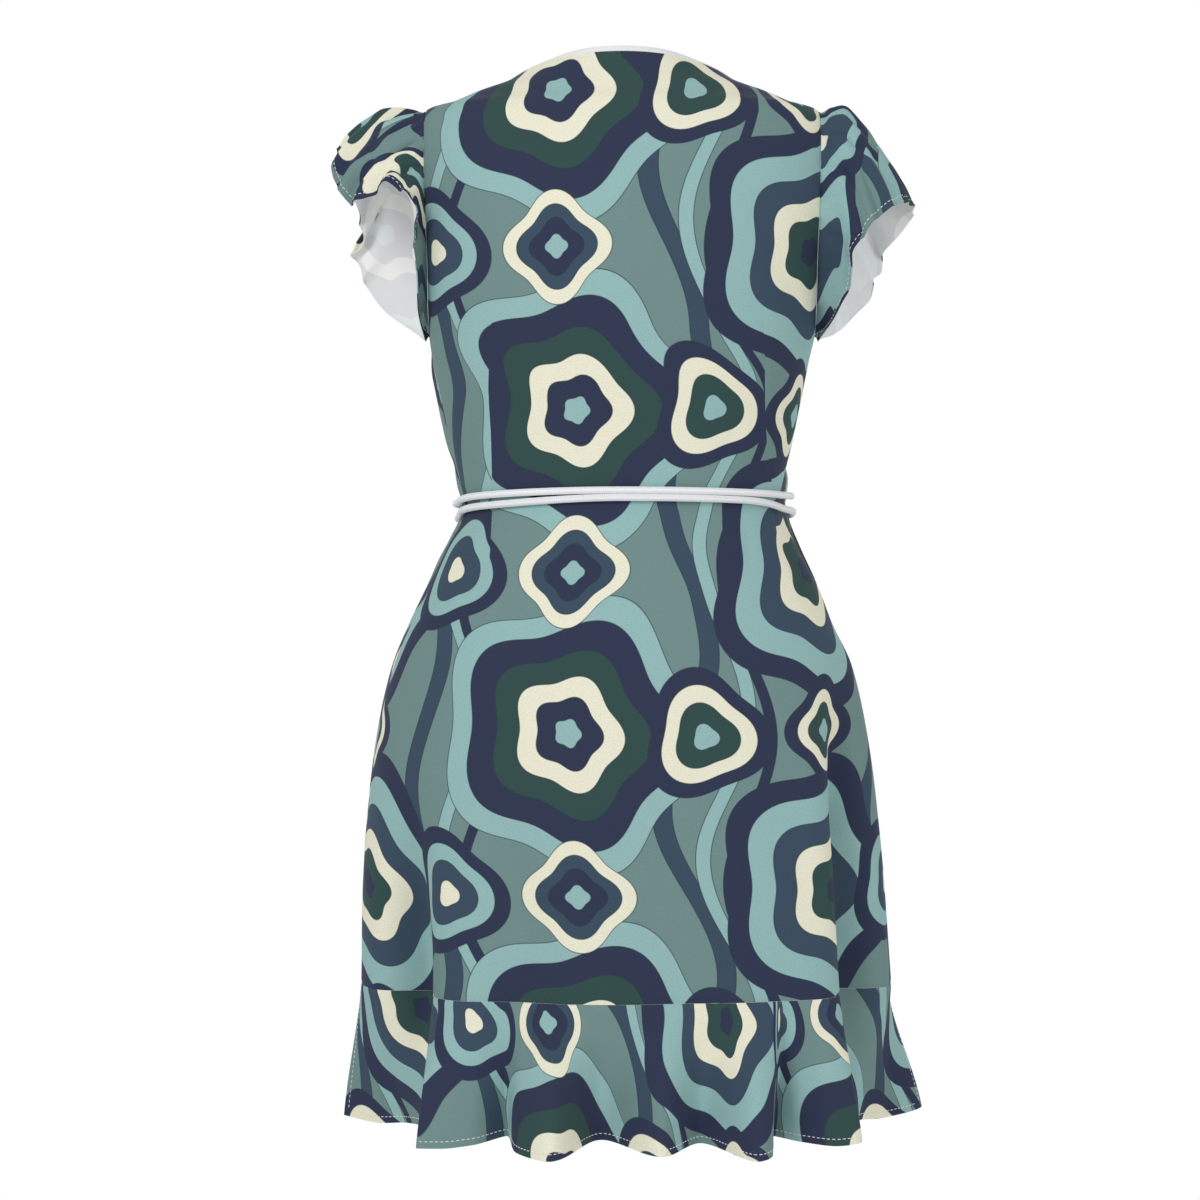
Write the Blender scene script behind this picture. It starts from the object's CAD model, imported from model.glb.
import math

import bpy
import numpy as np
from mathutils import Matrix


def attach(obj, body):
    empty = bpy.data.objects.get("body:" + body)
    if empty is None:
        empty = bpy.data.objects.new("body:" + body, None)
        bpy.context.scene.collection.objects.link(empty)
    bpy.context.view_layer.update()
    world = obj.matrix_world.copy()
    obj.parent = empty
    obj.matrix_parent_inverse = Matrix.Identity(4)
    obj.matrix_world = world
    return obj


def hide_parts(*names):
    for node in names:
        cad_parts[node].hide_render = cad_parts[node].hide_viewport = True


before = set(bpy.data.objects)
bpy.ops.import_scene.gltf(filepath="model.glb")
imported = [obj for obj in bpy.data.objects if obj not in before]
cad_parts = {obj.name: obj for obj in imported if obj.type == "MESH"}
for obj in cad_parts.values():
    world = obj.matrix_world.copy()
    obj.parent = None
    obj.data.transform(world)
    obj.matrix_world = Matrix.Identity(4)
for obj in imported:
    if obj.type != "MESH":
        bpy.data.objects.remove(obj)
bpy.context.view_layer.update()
print("frame loaded")

# Sizes in metres, +Z up; the back of the dress faces -Y
cloth = {
    "wall": 0.0011, "inset": 0.00012, "wrapLift": 0.0055, "shoulderTip": 0.170, "shoulderZ": -0.0065,
    "neckHalf": 0.100, "neckPointZ": 0.0185, "napeZ": 0.0347, "underarmZ": -0.200, "waistZ": -0.345,
    "seamZ": -0.765, "hemZ": -0.880, "underTuck": 0.09, "neckColumn": 0.4, "sleeveStart": 0.0003,
    "slit": 0.35, "stitchFromEdge": 0.0055,
}

# z, half width, back, front, centre y, squareness, centre x
sections = np.array((
    (-0.900, 0.2400, 0.126, 0.170, 0.026, 2.00, 0.0060),
    (-0.765, 0.2319, 0.122, 0.158, 0.025, 2.00, 0.0039),
    (-0.680, 0.2278, 0.124, 0.150, 0.020, 2.02, 0.0016),
    (-0.600, 0.2203, 0.127, 0.143, 0.014, 2.05, 0.0008),
    (-0.540, 0.2113, 0.128, 0.137, 0.010, 2.08, 0.0008),
    (-0.487, 0.1985, 0.127, 0.132, 0.006, 2.10, 0.0010),
    (-0.452, 0.1830, 0.121, 0.127, 0.004, 2.12, 0.0000),
    (-0.417, 0.1675, 0.113, 0.121, 0.002, 2.15, 0.0015),
    (-0.382, 0.1500, 0.104, 0.113, 0.000, 2.20, 0.0000),
    (-0.360, 0.1390, 0.098, 0.107, 0.000, 2.20, 0.0010),
    (-0.345, 0.1360, 0.095, 0.104, 0.000, 2.20, 0.0000),
    (-0.330, 0.1390, 0.096, 0.106, 0.000, 2.20, -0.0005),
    (-0.295, 0.1477, 0.100, 0.114, 0.000, 2.20, -0.0008),
    (-0.260, 0.1552, 0.105, 0.125, 0.000, 2.22, -0.0010),
    (-0.225, 0.1622, 0.110, 0.133, 0.000, 2.25, -0.0010),
    (-0.200, 0.1670, 0.113, 0.135, 0.000, 2.25, 0.0000),
    (-0.150, 0.1760, 0.117, 0.127, 0.000, 2.25, 0.0000),
    (-0.100, 0.1840, 0.116, 0.110, 0.000, 2.20, 0.0000),
    (-0.050, 0.1860, 0.107, 0.092, 0.000, 2.15, 0.0000),
    (-0.020, 0.1800, 0.097, 0.080, 0.000, 2.05, 0.0000),
    (-0.0065, 0.1700, 0.090, 0.074, 0.000, 1.98, 0.0000),
    (-0.0018, 0.1530, 0.085, 0.070, 0.000, 1.95, 0.0000),
    (0.0080, 0.1300, 0.080, 0.065, 0.000, 1.90, 0.0000),
    (0.0185, 0.1000, 0.075, 0.060, 0.000, 1.90, 0.0000),
    (0.0270, 0.0860, 0.072, 0.055, 0.000, 1.90, 0.0000),
    (0.0347, 0.0720, 0.070, 0.050, 0.000, 1.90, 0.0000),
))

# z, then degrees round from the centre back for the left and the right side seam
sideSeams = np.array((
    (-0.9, -91.0, 101.0), (-0.765, -91.0, 101.0), (-0.6, -90.0, 96.0), (-0.45, -87.0, 92.0),
    (-0.345, -82.0, 94.0), (-0.26, -82.0, 95.0), (-0.2, -90.0, 90.0),
))

# z, then the free edges of the outer and the under wrap front
wrapEdges = np.array((
    (-0.9, 132.0, 222.0), (-0.765, 128.0, 226.0), (-0.55, 114.0, 238.0), (-0.4, 100.0, 248.0),
    (-0.345, 91.5, 252.0), (-0.3, 120.0, 234.0), (-0.25, 150.0, 208.0), (-0.2, 180.0, 180.0),
))

# Deep skirt folds: angle, half width, out, starting and full height
skirtFolds = (
    (62.0, 8.0, -0.036, -0.47, -0.64), (-55.0, 8.0, -0.034, -0.56, -0.74),
    (44.0, 9.0, 0.006, -0.45, -0.64), (-37.0, 9.0, 0.006, -0.52, -0.74),
    (-24.0, 8.0, -0.006, -0.56, -0.765), (12.0, 8.0, -0.005, -0.54, -0.765),
    (122.0, 14.0, -0.009, -0.48, -0.72), (156.0, 14.0, 0.007, -0.44, -0.7),
    (186.0, 13.0, -0.007, -0.5, -0.74), (214.0, 14.0, 0.008, -0.46, -0.7),
    (244.0, 14.0, -0.009, -0.48, -0.72),
)

# Flounce hem: angle, x, y, lift
flounceHem = np.array((
    (-91.0, -0.244, 0.03, -0.003), (-83.0, -0.216, 0.006, -0.005), (-72.0, -0.186, -0.018, -0.001),
    (-56.0, -0.168, -0.072, 0.003), (-45.0, -0.17, -0.134, -0.001), (-39.0, -0.15, -0.136, -0.001),
    (-33.5, -0.125, -0.132, 0.001), (-27.0, -0.096, -0.112, 0.005), (-22.0, -0.088, -0.15, -0.001),
    (-16.0, -0.06, -0.18, -0.003), (-4.0, -0.018, -0.118, 0.003), (8.0, 0.031, -0.166, -0.002),
    (17.0, 0.064, -0.122, 0.001), (27.5, 0.108, -0.18, -0.003), (31.5, 0.1205, -0.165, -0.002),
    (34.5, 0.1255, -0.096, 0.002), (38.5, 0.148, -0.111, 0.0), (44.0, 0.176, -0.125, -0.001),
    (50.0, 0.1985, -0.111, 0.0), (60.0, 0.197, -0.066, 0.001), (76.0, 0.206, -0.006, -0.001),
    (90.0, 0.23, 0.022, -0.004), (101.0, 0.2665, 0.056, 0.0005), (114.0, 0.238, 0.104, 0.005),
    (128.0, 0.216, 0.176, 0.0), (142.0, 0.142, 0.156, 0.005), (158.0, 0.104, 0.218, 0.0),
    (172.0, 0.036, 0.17, 0.005), (187.0, -0.022, 0.222, 0.0), (202.0, -0.086, 0.168, 0.005),
    (218.0, -0.164, 0.208, 0.0), (234.0, -0.192, 0.13, 0.005), (251.0, -0.232, 0.116, 0.0),
    (269.0, -0.2335, 0.034, -0.003),
))

# Sleeve hems: degrees round the armhole from the shoulder tip, + to the back, then out, y, z
sleeveHems = {
    "right": np.array((
        (-180.0, 0.1705, 0.0, -0.205), (-165.0, 0.1735, 0.03, -0.201), (-140.0, 0.19, 0.06, -0.193),
        (-110.0, 0.21, 0.08, -0.174), (-90.0, 0.224, 0.085, -0.156), (-80.0, 0.224, 0.083, -0.143),
        (-72.0, 0.233, 0.078, -0.1365), (-60.0, 0.2325, 0.07, -0.124), (-45.0, 0.25, 0.05, -0.102),
        (-30.0, 0.257, 0.03, -0.09), (0.0, 0.25, 0.0, -0.085), (30.0, 0.235, -0.045, -0.092),
        (60.0, 0.213, -0.075, -0.11), (90.0, 0.198, -0.085, -0.13), (120.0, 0.19, -0.075, -0.165),
        (150.0, 0.18, -0.05, -0.19), (180.0, 0.1705, 0.0, -0.205),
    )),
    "left": np.array((
        (-180.0, 0.1705, 0.0, -0.205), (-150.0, 0.183, 0.05, -0.193), (-120.0, 0.212, 0.072, -0.171),
        (-90.0, 0.2285, 0.08, -0.147), (-75.0, 0.233, 0.076, -0.134), (-60.0, 0.242, 0.07, -0.121),
        (-45.0, 0.229, 0.055, -0.106), (-30.0, 0.231, 0.04, -0.09), (-20.0, 0.243, 0.025, -0.06),
        (-8.0, 0.249, 0.008, -0.036), (0.0, 0.25, 0.0, -0.045), (10.0, 0.25, -0.012, -0.064),
        (20.0, 0.243, -0.03, -0.078), (40.0, 0.228, -0.05, -0.094), (60.0, 0.205, -0.07, -0.08),
        (80.0, 0.185, -0.08, -0.082), (100.0, 0.176, -0.078, -0.108), (125.0, 0.174, -0.068, -0.14),
        (150.0, 0.174, -0.05, -0.18), (180.0, 0.1705, 0.0, -0.205),
    )),
}

palette = {
    "ground": (113, 141, 139), "aqua": (147, 185, 184), "navy": (49, 56, 80), "slate": (60, 78, 96),
    "forest": (51, 77, 75), "cream": (234, 232, 210), "outline": (44, 62, 72),
}


def follow(rows, value, at):
    xs, ys = rows[:, 0], rows[:, value]
    slopes = np.diff(ys) / np.diff(xs)
    both = slopes[:-1] * slopes[1:]
    total = np.where(both > 0.0, slopes[:-1] + slopes[1:], 1.0)
    ends = np.zeros(len(xs))
    ends[1:-1] = np.where(both > 0.0, 2.0 * both / total, 0.0)
    at = np.clip(at, xs[0], xs[-1])
    place = np.clip(np.searchsorted(xs, at, side="right") - 1, 0, len(xs) - 2)
    step = xs[place + 1] - xs[place]
    t = (at - xs[place]) / step
    return (ys[place] * (1 + 2 * t) * (1 - t) ** 2 + ys[place + 1] * t * t * (3 - 2 * t)
            + step * (ends[place] * t * (1 - t) ** 2 - ends[place + 1] * t * t * (1 - t)))


def ease(low, high, value):
    t = np.clip((value - low) / (high - low), 0.0, 1.0)
    return t * t * (3.0 - 2.0 * t)


def stack(x, y, z):
    return np.stack(np.broadcast_arrays(x, y, z), axis=-1).astype(float)


def unit(v):
    return v / np.maximum(np.linalg.norm(v, axis=-1, keepdims=True), 1e-12)


# Points read at distances along a line of points
def readAlong(points, arc, at):
    return np.stack([np.interp(at, arc, points[:, i]) for i in range(3)], axis=-1)


def section(z):
    return [follow(sections, i, z) for i in range(1, 7)]


def foldOut(angle, z):
    out = 0.0
    for centre, halfWidth, height, startZ, fullZ in skirtFolds:
        turn = (angle - centre + 180.0) % 360.0 - 180.0
        out = out + height * np.exp(-(turn / halfWidth) ** 2) * ease(startZ, fullZ, z)
    return out


def bodyPoint(angle, z, lift=0.0):
    angle, z = np.broadcast_arrays(np.asarray(angle, float), np.asarray(z, float))
    halfWidth, back, front, centreY, square, centreX = section(z)
    sine, cosine = np.sin(np.radians(angle)), np.cos(np.radians(angle))
    depth = np.where(cosine > 0.0, back + centreY, front - centreY)
    grow = (np.abs(sine) ** square + np.abs(cosine) ** square) ** (-1.0 / square)
    x, y = halfWidth * grow * sine, -depth * grow * cosine
    out = unit(stack(x / halfWidth ** 2, y / depth ** 2, 0.0))
    return stack(centreX + x, centreY + y, z) + out * np.asarray(foldOut(angle, z) + lift)[..., None]


def upperPoint(x, z, side, lift=0.0):
    halfWidth, back, front, _, square, _ = section(z)
    depth = back if side < 0 else front
    share = np.minimum(np.abs(x) / halfWidth, 1.0)
    return stack(x, side * (depth + lift) * (1.0 - share ** square) ** (1.0 / square), z)


armholeRows = np.array(((-0.200, 0.167), (-0.150, 0.1665), (-0.080, 0.1685), (-0.0065, 0.170)))
ridgeZs = np.linspace(cloth["shoulderZ"], cloth["napeZ"], 500)
ridgeXs = section(ridgeZs)[0]


def ridgeZ(x):
    return np.interp(x, ridgeXs[::-1], ridgeZs[::-1])


def spread(share, square=2.25):
    angle = np.radians(90.0 * np.abs(share))
    sine, cosine = np.sin(angle), np.abs(np.cos(angle))
    return sine * (sine ** square + cosine ** square) ** (-1.0 / square)


def sideOf(share):
    return np.where(share < 0.0, -1.0, 1.0)


def backTop(share):
    size = np.abs(share)
    column = cloth["neckColumn"]
    neckX = cloth["neckHalf"] * spread(size) / spread(column)
    neckZ = cloth["napeZ"] - (cloth["napeZ"] - cloth["neckPointZ"]) * (neckX / cloth["neckHalf"]) ** 3
    part = (spread(size) - spread(column)) / (1.0 - spread(column))
    sideX = cloth["neckHalf"] + (cloth["shoulderTip"] - cloth["neckHalf"]) * part
    atNeck = size <= column
    return sideOf(share) * np.where(atNeck, neckX, sideX), np.where(atNeck, neckZ, ridgeZ(sideX))


# A level is a height below the underarm; from there to 0 it is a share of the way up to the top edge
def levelStep(level):
    return np.clip((level - cloth["underarmZ"]) / -cloth["underarmZ"], 0.0, 1.0)


def upperZ(topZ, step):
    return cloth["underarmZ"] + (topZ - cloth["underarmZ"]) * (1.0 - (1.0 - step) ** 1.35)


# Share of the way over to the top edge; it follows height, as the rows bunch differently
def wayOver(start, z, topZ):
    left = np.clip((topZ - z) / (topZ - cloth["underarmZ"]), 0.0, 1.0)
    return ease(start, 1.0, 1.0 - np.sqrt(left))


def backPoint(share, level):
    share, level = np.broadcast_arrays(share, level)
    left, right = follow(sideSeams, 1, level), follow(sideSeams, 2, level)
    low = bodyPoint(left + (right - left) * (share + 1.0) / 2.0, np.minimum(level, cloth["underarmZ"]))
    step = levelStep(level)
    topX, topZ = backTop(share)
    z = upperZ(topZ, step)
    lowX = sideOf(share) * spread(share) * follow(armholeRows, 1, z)
    high = upperPoint(lowX + (topX - lowX) * wayOver(0.3, z, topZ), z, -1)
    return np.where((level < cloth["underarmZ"])[..., None], low, high)


def neckEdgeX(z):
    share = (z - cloth["underarmZ"]) / (cloth["neckPointZ"] - cloth["underarmZ"])
    return cloth["neckHalf"] * np.maximum(share, 0.0) ** 0.9


def frontLift(angle, z, outer):
    if not outer:
        return 0.0
    return cloth["wrapLift"] * ease(270.0, 260.0, angle) * ease(-0.110, -0.180, z)


def frontPoint(share, level, outer):
    share, level = np.broadcast_arrays(share, level)
    sign = -1.0 if outer else 1.0
    left, right = follow(sideSeams, 1, level), follow(sideSeams, 2, level)
    start = left + 360.0 if outer else right
    angle = start + (follow(wrapEdges, 1 if outer else 2, level) - start) * share
    lowZ = np.minimum(level, cloth["underarmZ"])
    low = bodyPoint(angle, lowZ, frontLift(angle, lowZ, outer))
    part = np.sin(np.radians(90.0 * share))
    if outer:
        # Towards the underarm the lift turns from outward to forward only, as it is above it
        forward = bodyPoint(angle, lowZ)
        forward[..., 1] *= 1.0 + cloth["wrapLift"] * ease(0.0, 0.3, part) / follow(sections, 3, lowZ)
        low = low + (forward - low) * ease(-0.235, cloth["underarmZ"], lowZ)[..., None]
    step = levelStep(level)
    topX = cloth["shoulderTip"] + (cloth["neckHalf"] - cloth["shoulderTip"]) * share
    topZ = ridgeZ(topX)
    z = upperZ(topZ, step)
    edge = neckEdgeX(z)
    lowX = edge + (follow(armholeRows, 1, z) - edge) * spread(1.0 - share)
    lift = cloth["wrapLift"] * ease(0.0, 0.3, part) * ease(-0.110, -0.180, z) if outer else 0.0
    high = upperPoint(sign * (lowX + (topX - lowX) * wayOver(0.55, z, topZ)), z, 1, lift)
    return np.where((level < cloth["underarmZ"])[..., None], low, high)


def flouncePoint(angle, drop, outer=False, under=False):
    angle, drop = np.broadcast_arrays(np.asarray(angle, float), np.asarray(drop, float))
    lift = frontLift(angle, cloth["seamZ"], outer) * np.ones_like(angle)
    tuck = 1.0 - cloth["underTuck"] * ease(108.0, 122.0, angle) if under else 1.0
    top = bodyPoint(angle, np.full_like(angle, cloth["seamZ"]), lift)
    turn = np.where(angle <= 269.0, angle, angle - 360.0)
    hem = stack(tuck * follow(flounceHem, 1, turn), tuck * follow(flounceHem, 2, turn),
                cloth["hemZ"] + follow(flounceHem, 3, turn))
    flat = hem * (1.0, 1.0, 0.0)
    hem = hem + unit(flat) * lift[..., None]
    out = (ease(0.0, 1.0, drop) * 0.35 + drop * 0.65)[..., None]
    side = top + (hem - top) * out
    down = top + (hem - top) * drop[..., None]
    return side * (1.0, 1.0, 0.0) + down * (0.0, 0.0, 1.0)


# A grid with its first column repeated after its last
def closeUp(grid):
    return np.concatenate((grid, grid[:, :1]), axis=1)


def gridNormals(grid, closed=False):
    if closed:
        wide = np.concatenate((grid[:, -1:], closeUp(grid)), axis=1)
        along = wide[:, 2:] - wide[:, :-2]
    else:
        along = np.gradient(grid, axis=1)
    return unit(np.cross(along, np.gradient(grid, axis=0)))


def arcLengths(points):
    steps = np.linalg.norm(np.diff(points, axis=-2), axis=-1)
    zero = np.zeros(steps.shape[:-1] + (1,))
    return np.concatenate((zero, np.cumsum(steps, axis=-1)), axis=-1)


# Soft troughs and ridges: start u and v, end u and v, half width, depth (+ is out)
def creaseOut(u, v, rows):
    out = np.zeros_like(u)
    for startU, startV, endU, endV, halfWidth, depth in rows:
        alongU, alongV = endU - startU, endV - startV
        size = alongU ** 2 + alongV ** 2
        t = np.clip(((u - startU) * alongU + (v - startV) * alongV) / size, 0.0, 1.0)
        away = np.hypot(u - startU - t * alongU, v - startV - t * alongV)
        wide = halfWidth * (0.55 + 0.6 * t)
        out += depth * np.exp(-(away / wide) ** 2) * (0.25 + 0.75 * np.sin(np.pi * np.clip(t, 0.03, 0.97)))
    return out


# Four-cornered faces between the neighbours of a grid of point numbers
def quads(ids):
    return np.stack((ids[:-1, :-1], ids[:-1, 1:], ids[1:, 1:], ids[1:, :-1]), axis=-1).reshape(-1, 4)


# Faces of a run of rings, with a fan on each end unless the run closes on itself
def tubeFaces(rings, sides, closed=False):
    ids = closeUp(np.arange(rings * sides).reshape(rings, sides))
    if closed:
        return quads(np.concatenate((ids, ids[:1])))
    count = rings * sides
    last = count - sides
    ends = []
    for j in range(0, sides, 2):
        k, m = j + 1, (j + 2) % sides
        ends.append((count, m, k, j))
        ends.append((count + 1, last + j, last + k, last + m))
    return np.concatenate((quads(ids), np.array(ends)))


def addMesh(name, points, faces, materials, attributes, indices=None):
    mesh = bpy.data.meshes.new(name)
    points = np.asarray(points, dtype=np.float32)
    faces = np.asarray(faces, dtype=np.int32)
    mesh.vertices.add(len(points))
    mesh.vertices.foreach_set("co", points.ravel())
    mesh.loops.add(faces.size)
    mesh.loops.foreach_set("vertex_index", faces.ravel())
    mesh.polygons.add(len(faces))
    mesh.polygons.foreach_set("loop_start", np.arange(0, faces.size, faces.shape[1], dtype=np.int32))
    for material in materials:
        mesh.materials.append(material)
    if indices is not None:
        mesh.polygons.foreach_set("material_index", np.asarray(indices, dtype=np.int32))
    mesh.polygons.foreach_set("use_smooth", np.full(len(faces), True))
    for key, values in attributes.items():
        made = mesh.attributes.new(key, "FLOAT_VECTOR", "POINT")
        made.data.foreach_set("vector", np.asarray(values, dtype=np.float32).ravel())
    mesh.update(calc_edges=True)
    mesh.validate()
    piece = bpy.data.objects.new(name, mesh)
    bpy.context.scene.collection.objects.link(piece)
    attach(piece, "root")
    return piece


# One closed thin wall round a grid; the outer face is printed, the inner one shows the reverse
def shell(name, grid, cut, dart=None, closed=False, normals=None):
    rows, columns = grid.shape[:2]
    count = rows * columns
    if normals is None:
        normals = gridNormals(grid, closed)
    if dart is None:
        dart = np.zeros(grid.shape)
    half = cloth["wall"] / 2.0
    points = np.concatenate(((grid + normals * half).reshape(-1, 3), (grid - normals * half).reshape(-1, 3)))
    ids = np.arange(count).reshape(rows, columns)
    if closed:
        ids = closeUp(ids)
    outer = quads(ids)
    low, high, first, last = ids[0], ids[-1], ids[:, 0], ids[:, -1]
    strips = [(low + count, low), (high, high + count)]
    if not closed:
        strips += [(first, first + count), (last + count, last)]
    rims = np.concatenate([quads(np.stack(strip)) for strip in strips])
    faces = np.concatenate((outer, outer[:, ::-1] + count, rims))
    reverse = np.zeros(len(faces))
    reverse[len(outer):2 * len(outer)] = 1
    both = {key: np.tile(values.reshape(-1, 3), (2, 1)) for key, values in (("cut", cut), ("dart", dart))}
    piece = addMesh(name, points, faces, [printMaterial, reverseMaterial], both, reverse)
    piece.data.set_sharp_from_angle(angle=math.radians(50.0))
    area = sum(p.area for p in piece.data.polygons) / 2.0
    print(f"{name}: {len(faces)} faces, one layer {area:.4f} m2")
    return piece, normals


def toLinear(colour):
    made = []
    for part in colour:
        part /= 255.0
        made.append(part / 12.92 if part <= 0.04045 else ((part + 0.055) / 1.055) ** 2.4)
    return (*made, 1.0)


class Sock:
    def __init__(self, shop, out):
        self.shop, self.out = shop, out

    def __add__(self, other):
        return self.shop.maths("ADD", self, other)

    def __sub__(self, other):
        return self.shop.maths("SUBTRACT", self, other)

    def __mul__(self, other):
        return self.shop.maths("MULTIPLY", self, other)

    def __truediv__(self, other):
        return self.shop.maths("DIVIDE", self, other)

    __radd__, __rmul__ = __add__, __mul__


class Shop:
    def __init__(self, name, roughness, constants):
        self.material = bpy.data.materials.new(name)
        self.material.use_nodes = True
        self.nodes = self.material.node_tree.nodes
        self.links = self.material.node_tree.links
        self.shader = self.nodes["Principled BSDF"]
        self.shader.inputs["Roughness"].default_value = roughness
        for key, value in constants.items():
            self.shader.inputs[key].default_value = value

    def put(self, socket, value):
        if isinstance(value, Sock):
            self.links.new(value.out, socket)
        elif value is not None:
            socket.default_value = value

    def node(self, kind, settings, inputs, output=0):
        made = self.nodes.new(kind)
        for key, value in settings.items():
            setattr(made, key, value)
        for key, value in inputs.items():
            self.put(made.inputs[key], value)
        return Sock(self, made.outputs[output])

    def maths(self, operation, *values):
        return self.node("ShaderNodeMath", {"operation": operation}, dict(enumerate(values)))

    def mix(self, factor, first, second):
        return self.node("ShaderNodeMix", {"data_type": "RGBA"}, {0: factor, 6: first, 7: second}, 2)

    def attribute(self, name):
        out = self.node("ShaderNodeAttribute", {"attribute_name": name}, {}, "Vector")
        return [self.node("ShaderNodeSeparateXYZ", {}, {0: out}, i) for i in range(3)]

    def combine(self, x, y):
        return self.node("ShaderNodeCombineXYZ", {}, {0: x, 1: y})

    def noise(self, vector, scale, detail):
        return self.node("ShaderNodeTexNoise", {}, {"Vector": vector, "Scale": scale, "Detail": detail})

    # 1 where value is under the limit, with an edge of about a thread's width
    def under(self, value, limit, soft=0.0004):
        return self.node("ShaderNodeMapRange", {"clamp": True},
                         {0: value, 1: limit - soft, 2: limit + soft, 3: 1.0, 4: 0.0})

    def bump(self, height, strength, distance):
        made = self.node("ShaderNodeBump", {}, {"Height": height, "Strength": strength,
                                                "Distance": distance})
        self.links.new(made.out, self.shader.inputs["Normal"])

    def colour(self, value):
        self.put(self.shader.inputs["Base Color"], value)


# The print: a half-drop repeat of ringed flowers with lobes, and of ribbons
repeat = {"wide": 0.230, "high": 0.270, "outline": 0.0007, "wander": 0.0060}
flowers = (
    # x, y, lobes, how deep, turn, then layers: radius, colour in even and in odd columns
    (0.0, 0.0, 5.0, 0.09, 0.4, ((0.110, "aqua", "navy"), (0.090, "navy", "aqua"),
                                (0.066, "forest", "slate"), (0.045, "cream", "cream"),
                                (0.028, "navy", "forest"), (0.011, "aqua", "navy"))),
    (0.0, 0.135, 4.0, 0.12, 0.0, ((0.042, "cream", "navy"), (0.031, "slate", "cream"),
                                  (0.021, "navy", "forest"), (0.009, "aqua", "aqua"))),
    (0.115, 0.0, 3.0, 0.14, 0.5, ((0.050, "navy", "navy"), (0.038, "cream", "aqua"),
                                  (0.025, "forest", "slate"), (0.010, "aqua", "cream"))),
    (-0.115, 0.135, 3.0, 0.14, 0.5, ((0.050, "navy", "navy"), (0.038, "aqua", "cream"),
                                     (0.025, "slate", "forest"), (0.010, "cream", "aqua"))),
)


def printColour(shop):
    u, v, _ = shop.attribute("cut")
    right, left, intake = shop.attribute("dart")
    u = u + intake * shop.maths("GREATER_THAN", right, 0.0) - intake * shop.maths("LESS_THAN", left, 0.0)
    place = shop.combine(u, v)
    wander = shop.node("ShaderNodeTexNoise", {}, {"Vector": place, "Scale": 7.0, "Detail": 0.0}, "Color")
    shift = [shop.node("ShaderNodeSeparateXYZ", {}, {0: wander}, i) for i in range(2)]
    u = u + (shift[0] - 0.5) * repeat["wander"] * 2.0
    v = v + (shift[1] - 0.5) * repeat["wander"] * 2.0
    column = shop.maths("FLOOR", u / repeat["wide"] + 0.5)
    odd = shop.maths("FLOORED_MODULO", column, 2.0)
    x = u - column * repeat["wide"]
    lifted = v + odd * (repeat["high"] / 2.0)
    y = lifted - shop.maths("FLOOR", lifted / repeat["high"] + 0.5) * repeat["high"]
    between = shop.maths("FLOORED_MODULO", lifted, repeat["high"]) - repeat["high"] / 2.0
    made = toLinear(palette["ground"])
    outline = toLinear(palette["outline"])
    # Ribbons wave down beside the boundary of two columns, each repeated on both sides of it
    fromEdge = shop.maths("FLOORED_MODULO", u, repeat["wide"]) - repeat["wide"] / 2.0
    for away, width, sway, turn, name in ((-0.018, 0.0080, 0.020, 0.0, "slate"),
                                          (0.014, 0.0060, 0.022, 1.1, "aqua"),
                                          (0.034, 0.0045, 0.022, 1.6, "navy")):
        wave = shop.maths("SINE", v * (2.0 * math.pi / repeat["high"]) + turn) * sway
        apart = shop.maths("ABSOLUTE", fromEdge - away - wave)
        made = shop.mix(shop.under(apart, width + repeat["outline"]), made, outline)
        made = shop.mix(shop.under(apart, width), made, toLinear(palette[name]))
    for atX, atY, lobes, deep, turn, layers in flowers:
        fromX = x - atX
        fromY = between if atY else y
        angle = shop.maths("ARCTAN2", fromY, fromX)
        radius = shop.maths("SQRT", fromX * fromX + fromY * fromY)
        size = radius / (1.0 + deep * shop.maths("COSINE", angle * lobes + turn))
        for limit, even, other in layers:
            made = shop.mix(shop.under(size, limit + repeat["outline"]), made, outline)
            colour = toLinear(palette[even])
            if other != even:
                colour = shop.mix(odd, colour, toLinear(palette[other]))
            made = shop.mix(shop.under(size, limit), made, colour)
    return made, place


def makeCrepe(name, roughness, constants, finish):
    shop = Shop(name, roughness, {"Specular IOR Level": 0.12, **constants})
    made, place = printColour(shop)
    shop.colour(finish(shop, made, place))
    shop.bump(shop.noise(place, 1600.0, 2.0), 0.25, 0.0004)
    return shop.material


def grained(shop, made, place):
    grain = (shop.noise(place, 900.0, 3.0) - 0.5) * 0.45 + 1.0
    return shop.node("ShaderNodeVectorMath", {"operation": "SCALE"}, {"Vector": made, "Scale": grain})


def paled(shop, made, place):
    return shop.mix(0.80, made, toLinear((244, 245, 246)))


def makeWhite(name, colour):
    shop = Shop(name, 0.7, {"Specular IOR Level": 0.3})
    run, around, _ = shop.attribute("run")
    along = run * 900.0
    plait = shop.maths("SINE", (along + around) * 2.0) * shop.maths("SINE", (along - around) * 2.0)
    shop.colour(shop.mix(plait * 0.5 + 0.5, toLinear(tuple(c * 0.93 for c in colour)), toLinear(colour)))
    shop.bump(plait, 0.5, 0.0003)
    return shop.material


printMaterial = makeCrepe("printedCrepe", 0.82, {"Sheen Weight": 0.04, "Sheen Roughness": 0.5}, grained)
reverseMaterial = makeCrepe("reverseCrepe", 0.85, {"Emission Strength": 0.04,
                                                   "Emission Color": (1.0, 1.0, 1.0, 1.0)}, paled)
cordMaterial = makeWhite("cordWhite", (247, 248, 251))
bindingMaterial = makeWhite("bindingWhite", (237, 239, 238))
threadMaterial = makeWhite("threadWhite", (238, 238, 234))
print("materials made")


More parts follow.
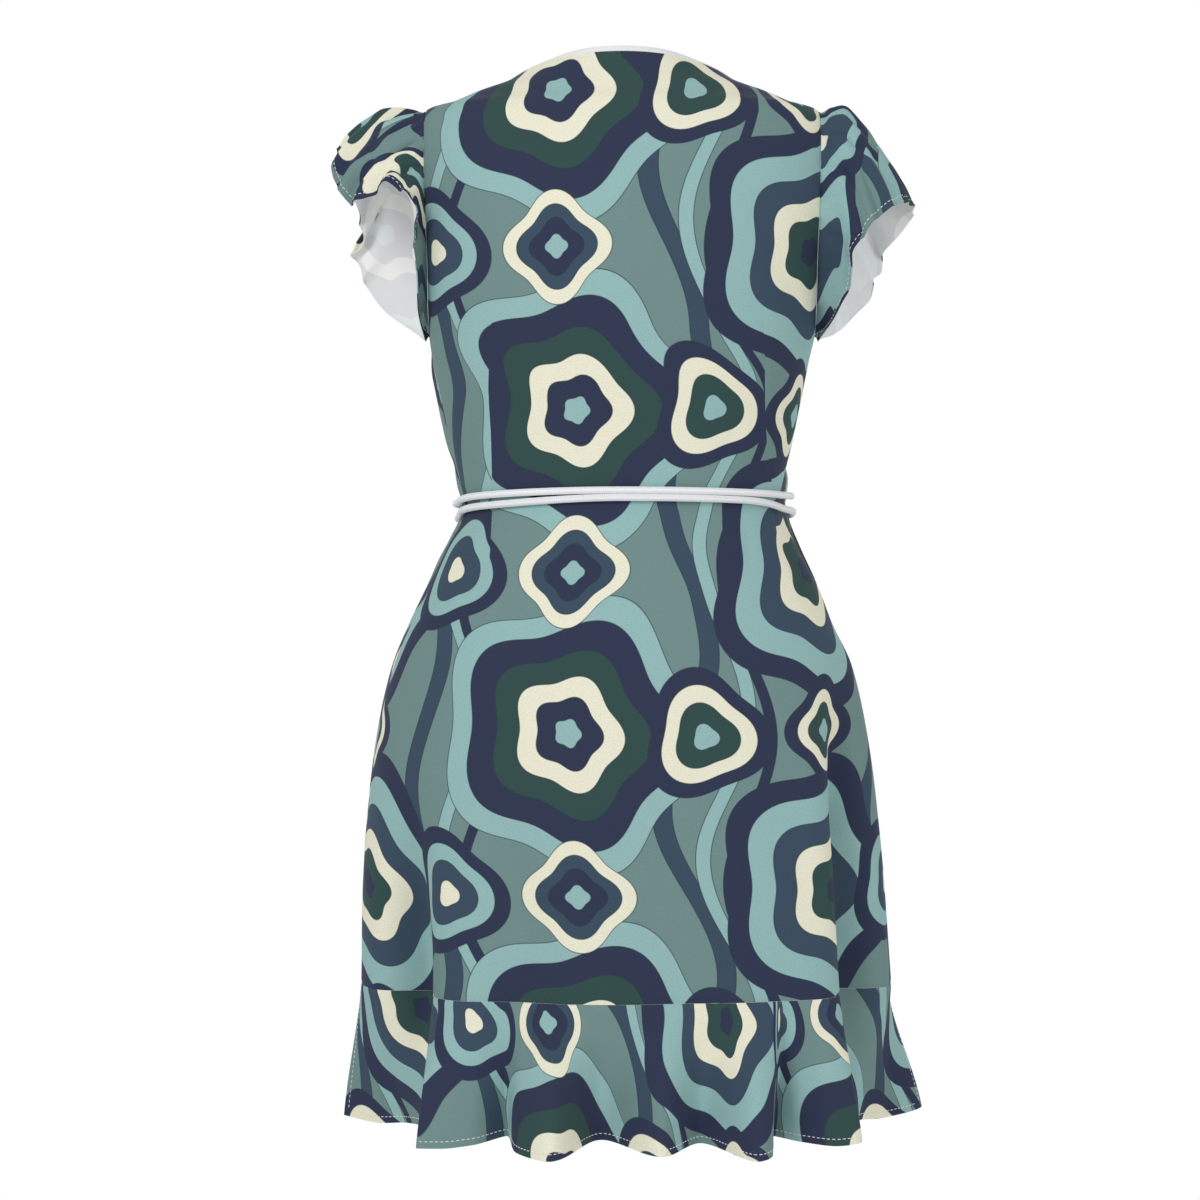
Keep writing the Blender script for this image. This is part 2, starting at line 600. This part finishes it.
def insetGrid(grid, sides):
    size = cloth["inset"]
    if "bottom" in sides:
        grid[0] += unit(grid[1] - grid[0]) * size
    if "top" in sides:
        grid[-1] += unit(grid[-2] - grid[-1]) * size
    if "start" in sides:
        grid[:, 0] += unit(grid[:, 1] - grid[:, 0]) * size
    if "end" in sides:
        grid[:, -1] += unit(grid[:, -2] - grid[:, -1]) * size
    return grid


# A seam pulls the cloth in a little beside it
def seamDip(away, depth=0.0007, width=0.0022):
    return -depth * np.exp(-(away / width) ** 2)


levels = np.concatenate((np.linspace(cloth["seamZ"], cloth["underarmZ"] - 0.0001, 150),
                         np.linspace(cloth["underarmZ"], 0.0, 66)))

backPiece = {
    "columns": 190, "beyond": 0.01, "printAt": 0.055,
    # z, then x of the dart
    "rightDart": np.array(((-0.412, 0.134), (-0.345, 0.130), (-0.300, 0.1230), (-0.263, 0.1205),
                           (-0.225, 0.1197), (-0.172, 0.1160))),
    "leftDart": np.array(((-0.408, -0.113), (-0.345, -0.1105), (-0.297, -0.1110), (-0.251, -0.1130),
                          (-0.215, -0.111), (-0.180, -0.1090))),
    "intake": np.array(((-0.410, 0.0), (-0.345, 0.026), (-0.260, 0.013), (-0.176, 0.0))),
    "creases": (
        (-0.15, -0.42, -0.12, -0.362, 0.012, -0.0014), (-0.06, -0.415, -0.052, -0.356, 0.011, -0.0012),
        (0.03, -0.43, 0.036, -0.356, 0.013, -0.0013), (0.1, -0.405, 0.092, -0.358, 0.009, -0.0012),
        (0.16, -0.425, 0.14, -0.362, 0.012, -0.0015), (-0.02, -0.333, -0.035, -0.27, 0.012, -0.0011),
        (0.07, -0.332, 0.085, -0.262, 0.013, -0.0012), (-0.09, -0.335, -0.098, -0.285, 0.01, -0.001),
        (-0.185, -0.225, -0.12, -0.12, 0.016, -0.0016), (0.18, -0.22, 0.118, -0.11, 0.015, -0.0016),
        (-0.14, -0.04, -0.075, -0.075, 0.014, -0.0012), (0.135, -0.045, 0.08, -0.09, 0.013, -0.0011),
        (-0.17, -0.74, -0.15, -0.56, 0.02, -0.003), (-0.07, -0.76, -0.078, -0.6, 0.018, 0.0024),
        (0.055, -0.755, 0.048, -0.62, 0.02, 0.0026), (0.15, -0.745, 0.128, -0.54, 0.022, -0.0032),
        (0.0, -0.74, 0.006, -0.66, 0.018, -0.0016),
    ),
}


def makeBack():
    across = np.linspace(-1.0, 1.0, backPiece["columns"] + 1)
    wide = np.concatenate(((-1.0 - backPiece["beyond"],), across, (1.0 + backPiece["beyond"],)))
    grid = backPoint(wide[None, :], levels[:, None])
    normals = gridNormals(grid)[:, 1:-1]
    grid = grid[:, 1:-1].copy()
    middle = backPiece["columns"] // 2
    arc = arcLengths(grid)
    u = arc - arc[:, middle:middle + 1]
    v = grid[..., 2].copy()
    xs = grid[..., 0]
    darts = []
    for name in ("rightDart", "leftDart"):
        at = follow(backPiece[name], 1, levels)
        darts.append(u - np.array([np.interp(a, xs[i], u[i]) for i, a in enumerate(at)])[:, None])
    intake = follow(backPiece["intake"], 1, v)
    out = creaseOut(u, v, backPiece["creases"])
    out += seamDip(u - arc[:, :1] + arc[:, middle:middle + 1]) + seamDip(arc[:, -1:] - arc)
    out += seamDip(v - cloth["seamZ"])
    for away in darts:
        out += seamDip(away) * ease(0.0, 0.004, intake)
    grid += normals * out[..., None]
    grid = insetGrid(grid, ("bottom", "top", "start", "end"))
    piece, _ = shell("back", grid, stack(u + backPiece["printAt"], v, 0.0),
                     stack(darts[0], darts[1], intake), normals=normals)
    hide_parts("back")
    return piece, grid, normals


# The print runs from a line down the breast, since the armhole cuts into the side
frontColumns = {"count": 100, "beyond": 0.004, "breastX": 0.12, "creasesFrom": 0.08}
frontPieces = {
    "frontLeft": {
        "node": "front_left", "outer": True, "printAt": (0.41, 0.07),
        "creases": (
            (-0.02, -0.345, 0.09, -0.24, 0.016, -0.0024), (0.02, -0.35, 0.15, -0.29, 0.015, -0.002),
            (0.06, -0.36, 0.17, -0.43, 0.016, -0.002), (0.0, -0.37, 0.08, -0.48, 0.018, -0.0022),
            (0.11, -0.76, 0.1, -0.56, 0.022, -0.0035), (0.2, -0.76, 0.19, -0.6, 0.02, 0.0028),
            (0.3, -0.755, 0.28, -0.58, 0.022, -0.0034), (0.06, -0.11, 0.13, -0.19, 0.016, -0.0018),
        ),
    },
    "frontRight": {
        "node": "front_right", "outer": False, "printAt": (-0.33, 0.16),
        "creases": (
            (0.03, -0.35, 0.11, -0.26, 0.016, -0.0012), (0.03, -0.37, 0.11, -0.46, 0.018, -0.0012),
            (0.1, -0.76, 0.095, -0.59, 0.02, -0.0016), (0.06, -0.11, 0.12, -0.18, 0.016, -0.0012),
        ),
    },
}


def makeFront(name):
    facts = frontPieces[name]
    outer = facts["outer"]
    across = np.linspace(0.0, 1.0, frontColumns["count"] + 1)
    share = 1.0 - across if outer else across
    grid = frontPoint(share[None, :], levels[:, None], outer)
    # Beyond its own side seam the form goes on into the back, so the two share a normal there
    beyond = frontPoint(np.array(((-frontColumns["beyond"],),)), levels[:, None], outer)
    if outer:
        normals = gridNormals(np.concatenate((grid, beyond), axis=1))[:, :-1]
    else:
        normals = gridNormals(np.concatenate((beyond, grid), axis=1))[:, 1:]
    arc = arcLengths(grid)
    fromSeam = arc[:, -1:] - arc if outer else arc
    v = grid[..., 2].copy()
    inward = grid[:, ::-1, 0] if outer else -grid[..., 0]
    runs = fromSeam[:, ::-1] if outer else fromSeam
    anchor = np.array([np.interp(-frontColumns["breastX"], xs, run) for xs, run in zip(inward, runs)])
    u = fromSeam - anchor[:, None]
    out = creaseOut(u + frontColumns["creasesFrom"], v, facts["creases"]) * ease(0.0, 0.02, fromSeam)
    out += seamDip(fromSeam) + seamDip(v - cloth["seamZ"])
    grid = insetGrid(grid + normals * out[..., None], ("bottom", "top", "end" if outer else "start"))
    printU, printV = facts["printAt"]
    piece, _ = shell(name, grid, stack(u + printU, v + printV, 0.0), normals=normals)
    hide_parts(facts["node"])
    return piece, grid, normals


flouncePieces = {
    "flounceBack": {"node": "flounce_back", "outer": False, "under": False, "columns": 400, "shift": 0.08},
    "flounceFrontRight": {"node": "flounce_front_right", "outer": False, "under": True, "columns": 230,
                          "shift": 0.21},
    "flounceFrontLeft": {"node": "flounce_front_left", "outer": True, "under": False, "columns": 270,
                         "shift": -0.13},
}
flounceRows = {"count": 44, "printZ": -0.93, "spare": 0.075}
# Gathers where the flounce meets the skirt: angle, half width, depth, how far down
gathers = (
    (-84, 1.6, -0.0016, 0.35), (-72, 1.4, -0.0014, 0.3), (-61, 1.7, 0.0014, 0.4),
    (-44, 1.5, -0.0016, 0.45), (-33, 1.3, -0.0012, 0.25), (-21, 1.6, -0.0015, 0.4),
    (-10, 1.4, -0.0014, 0.3), (2, 1.6, 0.0013, 0.35), (13, 1.4, -0.0015, 0.4), (23, 1.5, -0.0013, 0.3),
    (34, 1.4, -0.0016, 0.45), (46, 1.7, 0.0014, 0.35), (59, 1.5, -0.0015, 0.3), (76, 1.6, -0.0016, 0.4),
    (93, 1.5, -0.0013, 0.3), (108, 1.6, -0.0015, 0.35), (121, 1.4, 0.0013, 0.3), (135, 1.6, -0.0016, 0.4),
    (150, 1.5, -0.0013, 0.3), (165, 1.6, -0.0015, 0.45), (180, 1.4, -0.0014, 0.3),
    (195, 1.6, 0.0013, 0.35), (210, 1.5, -0.0015, 0.4), (226, 1.6, -0.0014, 0.3),
    (243, 1.5, -0.0016, 0.35), (260, 1.4, -0.0013, 0.3),
)


def makeFlounce(name):
    facts = flouncePieces[name]
    seam, slit = cloth["seamZ"], cloth["slit"]
    left, right = float(follow(sideSeams, 1, seam)), float(follow(sideSeams, 2, seam))
    if facts["outer"]:
        ends = (float(follow(wrapEdges, 1, seam)), left + 360.0 - slit)
    elif facts["under"]:
        ends = (right + slit, float(follow(wrapEdges, 2, seam)))
    else:
        ends = (left + slit, right - slit)
    angles = np.linspace(*ends, facts["columns"] + 1)[None, :]
    drops = np.linspace(1.0, 0.0, flounceRows["count"] + 1)[:, None]
    grid = flouncePoint(angles, drops, facts["outer"], facts["under"])
    out = np.zeros(grid.shape[:2])
    for angle, width, depth, reach in gathers:
        turn = (angles - angle + 180.0) % 360.0 - 180.0
        out += depth * np.exp(-(turn / width) ** 2) * ease(0.0, 0.08, drops) * ease(reach, 0.05, drops)
    down = arcLengths(grid.transpose(1, 0, 2)).transpose()
    depth = down[-1:] - down
    out += seamDip(depth)
    grid = insetGrid(grid + gridNormals(grid) * out[..., None], ("top",))
    hemArc, seamArc = arcLengths(grid[0]), arcLengths(grid[-1])
    middle = (hemArc[-1] - seamArc[-1]) * flounceRows["spare"] * (1.0 - drops)
    cut = stack(hemArc[None, :] + middle + facts["shift"], flounceRows["printZ"] - depth, 0.0)
    piece, normals = shell(name, grid, cut)
    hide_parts(facts["node"])
    return piece, grid, normals


# Folds of the sleeves: degrees round the armhole, half width, out at the armhole, out at the hem
sleeveFolds = {
    "right": (
        (-84, 6.0, 0.001, -0.0045), (-66, 5.0, -0.0025, 0.005), (-52, 4.5, 0.002, -0.005),
        (-38, 4.0, -0.003, 0.004), (-26, 3.2, 0.0022, -0.0026), (-15, 3.0, -0.0034, 0.0022),
        (-5, 2.6, 0.0026, -0.0012), (4, 2.4, -0.004, 0.001), (12, 2.6, 0.0024, -0.0016),
        (21, 2.6, -0.0042, 0.0024), (30, 3.0, 0.0024, -0.0036), (41, 3.2, -0.0044, 0.003),
        (52, 3.6, 0.0022, -0.004), (64, 3.8, -0.004, 0.0034), (79, 5.0, 0.0012, -0.0044),
        (98, 5.5, -0.0022, 0.0036), (122, 7.0, 0.0006, -0.0026),
    ),
    "left": (
        (-84, 6.0, 0.001, -0.005), (-68, 5.0, -0.0025, 0.0055), (-54, 4.5, 0.002, -0.0055),
        (-38, 4.0, -0.003, 0.0045), (-25, 3.2, 0.0022, -0.003), (-14, 3.0, -0.0036, 0.0028),
        (-4, 2.8, 0.0028, -0.004), (6, 2.6, -0.0044, 0.004), (14, 2.6, 0.0026, -0.0044),
        (23, 2.8, -0.0046, 0.0046), (32, 2.8, 0.0026, -0.0048), (43, 3.0, -0.0048, 0.0052),
        (54, 3.2, 0.0024, -0.0046), (65, 3.6, -0.0044, 0.0046), (78, 4.4, 0.0016, -0.0044),
        (96, 5.0, -0.0026, 0.004), (120, 7.0, 0.0006, -0.0026),
    ),
}
# How far the gathered head stands up, by share of the way from armhole to hem: right, left
puffRise = np.array((
    (0.0, 0.0, 0.0), (0.15, 0.014, 0.006), (0.33, 0.027, 0.013), (0.51, 0.027, 0.018),
    (0.7, 0.021, 0.0155), (0.9, 0.009, 0.008), (1.0, 0.0, 0.0),
))


def armholeLoop(sign):
    steps = np.linspace(cloth["underarmZ"], 0.0, 200)
    backEdge = backPoint(np.array((sign,)), steps)
    backIn = backPoint(np.array((sign * 0.9,)), steps)
    frontEdge = frontPoint(np.array((0.0,)), steps, sign < 0)[::-1]
    frontIn = frontPoint(np.array((0.1,)), steps, sign < 0)[::-1]
    edge = np.concatenate((backEdge[:-1], frontEdge))
    inner = np.concatenate((backIn[:-1], frontIn))
    step = levelStep(np.concatenate((steps[:-1], steps[::-1])))
    past = unit(edge - inner) * cloth["sleeveStart"]
    aside = np.array((sign * cloth["sleeveStart"] * 2.0, 0.0, 0.0))
    return edge + aside + (past - aside) * ease(0.1, 0.6, step)[:, None]


sleevePiece = {"columns": 280, "rows": 60, "fullReach": 0.08,
               "printAt": {"right": (0.41, 0.31), "left": (0.13, -0.31)}}


def makeSleeve(side):
    sign = -1.0 if side == "left" else 1.0
    loop = armholeLoop(sign)
    arc = arcLengths(loop)
    at = np.linspace(0.0, arc[-1], sleevePiece["columns"] + 1)[:-1]
    edge = readAlong(loop, arc, at)
    middle = (cloth["shoulderZ"] + cloth["underarmZ"]) / 2.0
    half = (cloth["shoulderZ"] - cloth["underarmZ"]) / 2.0
    turn = np.degrees(np.arccos(np.clip((edge[:, 2] - middle) / half, -1.0, 1.0)))
    turn = np.where(edge[:, 1] > 0.0, -turn, turn)
    if side == "left":
        edge, turn = edge[::-1], turn[::-1]
    rows = sleeveHems[side]
    hem = stack(sign * follow(rows, 1, turn), follow(rows, 2, turn), follow(rows, 3, turn))
    drop = np.linspace(0.0, 1.0, sleevePiece["rows"] + 1)[:, None]
    grid = edge[None] + (hem - edge)[None] * drop[..., None]
    reach = np.linalg.norm(hem - edge, axis=-1)
    puff = follow(puffRise, 1 if sign > 0 else 2, drop) * np.minimum(
        reach / sleevePiece["fullReach"], 1.0)[None]
    top = np.maximum(np.cos(np.radians(turn)), 0.0)[None]
    grid[..., 2] += puff * top
    grid[..., 0] += sign * puff * 0.4 * (1.0 - top)
    # Rows run from the hem to the armhole, so that the outer side faces out
    grid, drop = grid[::-1], drop[::-1]
    normals = gridNormals(grid, closed=True)
    out = np.zeros(grid.shape[:2])
    for angle, width, near, far in sleeveFolds[side]:
        wide = width * (0.75 + 0.45 * drop)
        size = near * np.sin(np.pi * np.clip(drop * 1.5, 0.0, 1.0)) ** 0.8 + far * ease(0.25, 1.0, drop)
        out += size * np.exp(-((turn[None] - angle) / wide) ** 2)
    grid = grid + normals * out[..., None]
    around = arcLengths(closeUp(grid))[:, :-1]
    shoulder = np.argmin(np.abs(turn))
    length = arcLengths(grid.transpose(1, 0, 2)).transpose()
    printU, printV = sleevePiece["printAt"][side]
    cut = stack((around - around[:, shoulder:shoulder + 1]) + printU, printV + length, 0.0)
    piece, normals = shell("sleeve" + side.title(), grid, cut, closed=True)
    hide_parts("sleeve_" + side)
    return piece, grid, normals


made = {"back": makeBack()}
for name in frontPieces:
    made[name] = makeFront(name)
for name in flouncePieces:
    made[name] = makeFlounce(name)
for side in ("left", "right"):
    made["sleeve" + side.title()] = makeSleeve(side)
print("cloth made")


# A closed round tube along a line of points, with its length and turn kept for the shader
def tube(name, path, radius, node, closed=False, sides=14):
    if closed:
        along = unit(np.roll(path, -1, axis=0) - np.roll(path, 1, axis=0))
    else:
        along = unit(np.gradient(path, axis=0))
    across = np.zeros_like(path)
    first = np.cross(along[0], (0.0, 0.0, 1.0))
    if np.linalg.norm(first) < 0.1:
        first = np.cross(along[0], (0.0, 1.0, 0.0))
    across[0] = unit(first)
    for i in range(1, len(path)):
        across[i] = unit(across[i - 1] - along[i] * np.dot(across[i - 1], along[i]))
    up = np.cross(along, across)
    turns = np.linspace(0.0, 2.0 * np.pi, sides, endpoint=False)
    sizes = np.full(len(path), radius)
    run = arcLengths(path)
    if not closed:
        # Rounded ends
        near = np.minimum(run, run[-1] - run) / radius
        sizes = radius * np.sqrt(np.clip(1.0 - (1.0 - np.clip(near, 0.0, 1.0)) ** 2, 0.02, 1.0))
    ring = across[:, None] * np.cos(turns)[None, :, None] + up[:, None] * np.sin(turns)[None, :, None]
    points = (path[:, None] + ring * sizes[:, None, None]).reshape(-1, 3)
    attribute = stack(run[:, None], turns[None, :], 0.0).reshape(-1, 3)
    if not closed:
        points = np.concatenate((points, path[:1], path[-1:]))
        attribute = np.concatenate((attribute, ((0.0, 0.0, 0.0), (run[-1], 0.0, 0.0))))
    piece = addMesh(name, points, tubeFaces(len(path), sides, closed), [cordMaterial], {"run": attribute})
    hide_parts(node)
    return piece


bindingPiece = {
    "width": 0.0044, "under": -0.0012, "thick": 0.0022, "rings": 520, "sides": 12, "smoothings": 6,
}


# The white rolled edge runs up one wrap front, round the neck and down the other
def makeBinding():
    rows = levels >= cloth["waistZ"] - 0.0005
    neck = np.abs(np.linspace(-1.0, 1.0, backPiece["columns"] + 1)) < cloth["neckColumn"]
    left, back, right = (made[name][1] for name in ("frontLeft", "back", "frontRight"))
    edge = np.concatenate((left[rows, 0], back[-1, neck], right[rows, -1][::-1]))
    inner = np.concatenate((left[rows, 5], back[-7, neck], right[rows, -6][::-1]))
    arc = arcLengths(edge)
    at = np.linspace(0.0, arc[-1], bindingPiece["rings"])
    edge, inner = readAlong(edge, arc, at), readAlong(inner, arc, at)
    for _ in range(bindingPiece["smoothings"]):
        for line in (edge, inner):
            line[1:-1] = (line[:-2] + 2.0 * line[1:-1] + line[2:]) / 4.0
    along = unit(np.gradient(edge, axis=0))
    way = edge - inner
    way = unit(way - along * np.sum(way * along, axis=-1, keepdims=True))
    out = unit(np.cross(way, along))
    sides = bindingPiece["sides"]
    turns = np.linspace(0.0, 2.0 * np.pi, sides, endpoint=False)
    near, far = bindingPiece["under"], bindingPiece["width"]
    # It rolls over to the inside where it passes the shoulder line
    taper = 1.0 - 0.75 * ease(0.040, 0.085, np.abs(edge[:, 0])) * ease(-0.080, -0.020, edge[:, 2])
    reach = near + (far * taper[:, None] - near) * (0.5 + 0.5 * np.cos(turns))[None, :]
    lift = bindingPiece["thick"] / 2.0 * np.sign(np.sin(turns)) * np.abs(np.sin(turns)) ** 0.6
    points = edge[:, None] + way[:, None] * reach[..., None] + out[:, None] * lift[None, :, None]
    points = np.concatenate((points.reshape(-1, 3), edge[:1], edge[-1:]))
    run = np.concatenate((stack(np.repeat(at, sides), 0.0, 0.0), np.zeros((2, 3))))
    piece = addMesh("neckBinding", points, tubeFaces(len(edge), sides), [bindingMaterial], {"run": run})
    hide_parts("neck_binding")
    return piece


binding = makeBinding()
print("binding made")

ties = {
    "diameter": 0.0062, "clear": 0.0006,
    "right": np.array(((89.0, -0.3400), (60.0, -0.3395), (0.0, -0.3382), (-60.0, -0.3415),
                       (-92.0, -0.3450), (-120.0, -0.3480), (-144.9, -0.3500))),
    "left": np.array(((-86.0, -0.3600), (-76.0, -0.3530), (-45.0, -0.3490), (0.0, -0.3443),
                      (45.0, -0.3456), (84.0, -0.3530), (110.0, -0.3560), (160.0, -0.3530),
                      (207.6, -0.3500))),
    "frontClear": 0.0008, "spacing": 0.0022,
    "knotAngle": 211.5, "knotZ": -0.350, "knotHalf": (0.0105, 0.0070, 0.0085), "knotClear": 0.0022,
    "tailLength": 0.140, "tailTurns": {"right": 5.0, "left": -4.5}, "tailClear": 0.0060,
    "tailAside": 0.73, "tailDown": 0.85, "tailSway": 0.0018,
}


def tiePoint(angle, z):
    turn = angle % 360.0
    lift = np.where(turn > 70.0, frontLift(turn, z, True), 0.0)
    lift = lift * np.where(turn < 180.0, ease(72.0, 86.0, turn), 1.0)
    lift = lift + np.where((turn > 75.0) & (turn < 275.0), ties["frontClear"], 0.0)
    return bodyPoint(angle, z, lift + cloth["wall"] / 2.0 + ties["clear"] + ties["diameter"] / 2.0)


def tieRun(rows):
    angles = np.linspace(rows[0, 0], rows[-1, 0], 400)
    path = tiePoint(angles, follow(rows[np.argsort(rows[:, 0])], 1, angles))
    arc = arcLengths(path)
    count = int(round(arc[-1] / ties["spacing"]))
    return readAlong(path, arc, np.linspace(0.0, arc[-1], count + 1))


def makeCord(name, node, path, **facts):
    piece = tube(name, path, ties["diameter"] / 2.0, node)


def makeTies():
    radius = ties["diameter"] / 2.0
    half = np.array(ties["knotHalf"])
    onFront = cloth["wrapLift"] + cloth["wall"] / 2.0
    middle = bodyPoint(ties["knotAngle"], ties["knotZ"], onFront + ties["knotClear"] + half[1])
    t = np.linspace(0.0, 2.0 * np.pi, 120, endpoint=False)
    loop = stack((np.sin(t) + 2.0 * np.sin(2.0 * t)) / 3.0 * (half[0] - radius),
                 -np.sin(3.0 * t) * (half[1] - radius),
                 (np.cos(t) - 2.0 * np.cos(2.0 * t)) / 3.0 * (half[2] - radius * 0.9))
    knot = tube("tieKnot", middle + loop, radius * 0.96, "tie_knot", closed=True)
    for side in ("right", "left"):
        makeCord("tie" + side.title(), "tie_" + side, tieRun(ties[side]),
                 far_end="knot", lay="taut", with_pieces=[knot])
    share = np.linspace(0.0, 1.0, 70)
    z = middle[2] - half[2] * ties["tailDown"] - ties["tailLength"] * share
    hang = ease(0.0, 0.22, share)
    for side, turn in ties["tailTurns"].items():
        startX = middle[0] - math.copysign(ties["diameter"] * ties["tailAside"], turn)
        on = bodyPoint(ties["knotAngle"] + turn, z, onFront + radius + ties["tailClear"])
        # A tail hangs with a slight sway of its own
        sway = np.sin(share * 5.0 + turn) * ties["tailSway"] * share
        path = stack(startX + (on[:, 0] - startX) * hang + sway, middle[1] + (on[:, 1] - middle[1]) * hang, z)
        makeCord("tie" + side.title() + "Tail", "tie_" + side + "_tail", path, far_end="bare", lay="hanging")


makeTies()
print("ties made")

# Rings of a stitch: share of its length, then its size and its height in radii
stitch = {
    "length": 0.0030, "pitch": 0.0044, "first": 0.002, "radius": 0.00029, "clear": 0.0001, "flat": 1.3,
    "sides": 6, "rings": ((0.0, 0.35, -0.9), (0.12, 0.85, -0.25), (0.5, 1.0, 0.35), (0.88, 0.85, -0.25),
                          (1.0, 0.35, -0.9)),
}


# Short raised stitches along lines that lie on the cloth
def makeStitches(name, lines):
    sides = stitch["sides"]
    turns = np.linspace(0.0, 2.0 * np.pi, sides, endpoint=False)
    shares, swell, dips = np.array(stitch["rings"]).T
    dips = dips * stitch["radius"]
    ring = (stitch["radius"] * swell)[None, :, None]
    wide, high = (np.cos(turns) * ring)[..., None] * stitch["flat"], (np.sin(turns) * ring)[..., None]
    allPoints = []
    for path, normals in lines:
        arc = arcLengths(path)
        starts = np.arange(stitch["first"], arc[-1] - stitch["length"], stitch["pitch"])
        at = starts[:, None] + shares[None, :] * stitch["length"]
        centre, out = readAlong(path, arc, at), unit(readAlong(normals, arc, at))
        side = unit(np.cross(unit(np.gradient(centre, axis=1)), out))
        centre = centre + out * (cloth["wall"] / 2.0 + stitch["clear"] + dips[None, :, None])
        points = centre[:, :, None] + side[:, :, None] * wide + out[:, :, None] * high
        allPoints.append(points.reshape(-1, 3))
    points = np.concatenate(allPoints)
    ids = np.arange(len(shares) * sides).reshape(-1, sides)
    low, top = ids[0], ids[-1]
    faces = np.concatenate((quads(closeUp(ids))[:, ::-1],
                            (low[:4], low[[3, 4, 5, 0]], top[3::-1], top[[0, 5, 4, 3]])))
    firsts = np.arange(0, len(points), ids.size)[:, None, None]
    return addMesh(name, points, (faces[None] + firsts).reshape(-1, 4), [threadMaterial],
                   {"run": np.zeros(points.shape)})


# The line at a set distance from a grid's first row, or from one of its end columns
def lineFromEdge(grid, normals, edge, away):
    if edge == "start":
        grid, normals = grid.transpose(1, 0, 2), normals.transpose(1, 0, 2)
    elif edge == "end":
        grid, normals = grid.transpose(1, 0, 2)[::-1], normals.transpose(1, 0, 2)[::-1]
    pairs = [(readAlong(grid[:, j], arcLengths(grid[:, j]), away),
              readAlong(normals[:, j], arcLengths(grid[:, j]), away)) for j in range(grid.shape[1])]
    path, outs = np.array(pairs).transpose(1, 0, 2)
    return path, unit(outs)


stitches = {}
away = cloth["stitchFromEdge"]
for name in flouncePieces:
    _, grid, normals = made[name]
    lines = []
    for edge in ("bottom", "start", "end"):
        path, outs = lineFromEdge(grid, normals, edge, away)
        if edge == "bottom":
            arc = arcLengths(path)
            inside = (arc > away) & (arc < arc[-1] - away)
            path, outs = path[inside], outs[inside]
        lines.append((path[2:-2], outs[2:-2]))
    stitches[name] = makeStitches(name + "Stitch", lines)
for name in ("sleeveLeft", "sleeveRight"):
    path, outs = lineFromEdge(*made[name][1:], "bottom", away)
    stitches[name] = makeStitches(name + "Stitch", [(np.concatenate((path, path[:1])),
                                                     np.concatenate((outs, outs[:1])))])
print("stitches made")

# Flat cuts: width, length, the area that the piece takes of that rectangle, and how it is held
cuts = {
    "back": (0.68, 0.83, 0.400, "draped"), "frontLeft": (0.51, 0.87, 0.300, "draped"),
    "frontRight": (0.47, 0.87, 0.270, "draped"), "flounceBack": (1.01, 0.118, 0.105, "gathered"),
    "flounceFrontRight": (0.62, 0.118, 0.066, "gathered"),
    "flounceFrontLeft": (0.72, 0.118, 0.080, "gathered"),
    "sleeveLeft": (0.55, 0.110, 0.036, "gathered"), "sleeveRight": (0.49, 0.113, 0.038, "gathered"),
}
for name, (width, length, area, held) in cuts.items():
    extra = [stitches[name]] if name in stitches else [binding] if name == "back" else []
    [] if name == "back" else [made["back"][0].name]

# Floor, light and camera
scene = bpy.context.scene
floorShop = Shop("paleFloor", 0.9, {})
floorShop.colour((0.80, 0.80, 0.80, 1.0))
bpy.ops.mesh.primitive_circle_add(vertices=96, radius=1.5, fill_type="NGON", location=(0.0, 0.0, -1.38))
floor = bpy.context.object
floor.name = "floor"
floor.data.materials.append(floorShop.material)
# Place, size and power; every light and the camera aim at the middle of the dress
middleZ = -0.43
lights = {
    "keyLight": ((-1.4, -2.2, 0.7), 1.2, 27.0),
    "fillLight": ((1.8, -1.9, -0.3), 1.6, 12.0),
    "backLight": ((0.4, 2.4, 0.9), 1.6, 10.0),
}
for name, (place, size, power) in lights.items():
    data = bpy.data.lights.new(name, "AREA")
    data.shape, data.size, data.energy = "DISK", size, power
    light = bpy.data.objects.new(name, data)
    light.location = place
    scene.collection.objects.link(light)
    aim = np.array((0.0, 0.0, middleZ)) - np.array(place)
    light.rotation_euler = (math.atan2(math.hypot(aim[0], aim[1]), -aim[2]), 0.0,
                            math.atan2(-aim[0], aim[1]))
world = bpy.data.worlds.new("paper")
scene.world = world
world.use_nodes = True
tree = world.node_tree
# Brightest beyond the dress's front, a little dimmer behind its back where the lights stand
where = tree.nodes.new("ShaderNodeTexCoord")
parts = tree.nodes.new("ShaderNodeSeparateXYZ")
fade = tree.nodes.new("ShaderNodeMapRange")
for socket, value in zip(range(1, 5), (0.50, 0.90, 0.58, 1.0)):
    fade.inputs[socket].default_value = value
tree.links.new(where.outputs["Generated"], parts.inputs[0])
tree.links.new(parts.outputs[1], fade.inputs[0])
tree.links.new(fade.outputs[0], tree.nodes["Background"].inputs["Strength"])
tree.nodes["Background"].inputs["Color"].default_value = (1.0, 1.0, 1.0, 1.0)
scene.view_settings.view_transform = "Standard"
cameraData = bpy.data.cameras.new("camera")
cameraData.lens, cameraData.sensor_width = 85.68, 36.0
camera = bpy.data.objects.new("camera", cameraData)
camera.location = (-0.019, -2.483, middleZ)
camera.rotation_euler = (math.radians(90.0), 0.0, 0.0)
scene.collection.objects.link(camera)
scene.camera = camera
print("scene made")
